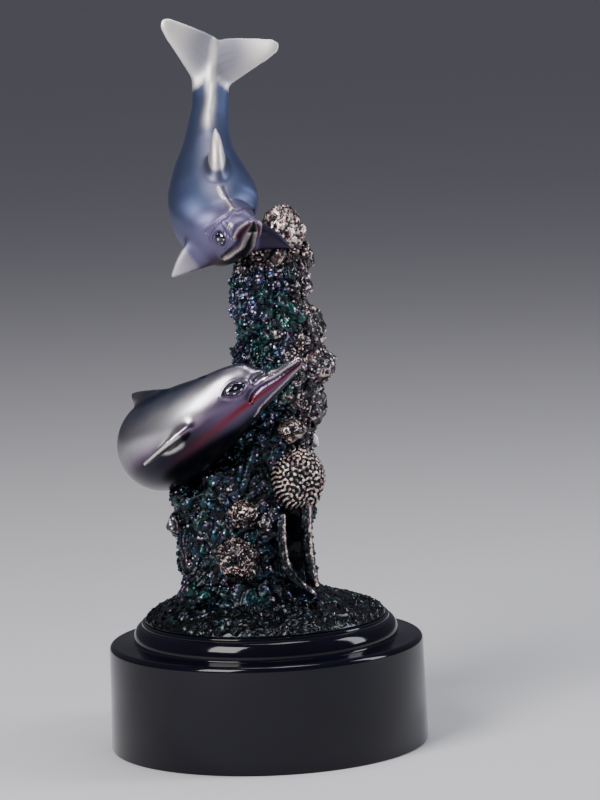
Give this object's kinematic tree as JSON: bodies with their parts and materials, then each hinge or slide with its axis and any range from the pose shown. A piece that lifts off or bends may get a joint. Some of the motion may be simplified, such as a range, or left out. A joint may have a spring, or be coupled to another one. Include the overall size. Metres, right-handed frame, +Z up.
{
  "type": "dolphin sculpture",
  "caption": "Tabletop sculpture of dolphins swimming round a coral column, cast as one and set on a turned gloss black plinth",
  "frame": {"origin": "centre of the plinth's underside, on the surface it stands on", "axes": "+Z up, the front of the sculpture faces -Y, +X to the viewer's right"},
  "size_m": [0.1284, 0.1284, 0.2926],
  "materials": {
    "coral_patina": "dark teal and bronze patina with bright high points on the coral",
    "dolphin_plating": "satin polished nickel-silver plating with blue and violet tints",
    "plinth_black": "polished black lacquer"
  },
  "bodies": {
    "root": {"dolphins_and_coral": "coral_patina", "plinth": "plinth_black"}
  },
  "joints": []
}
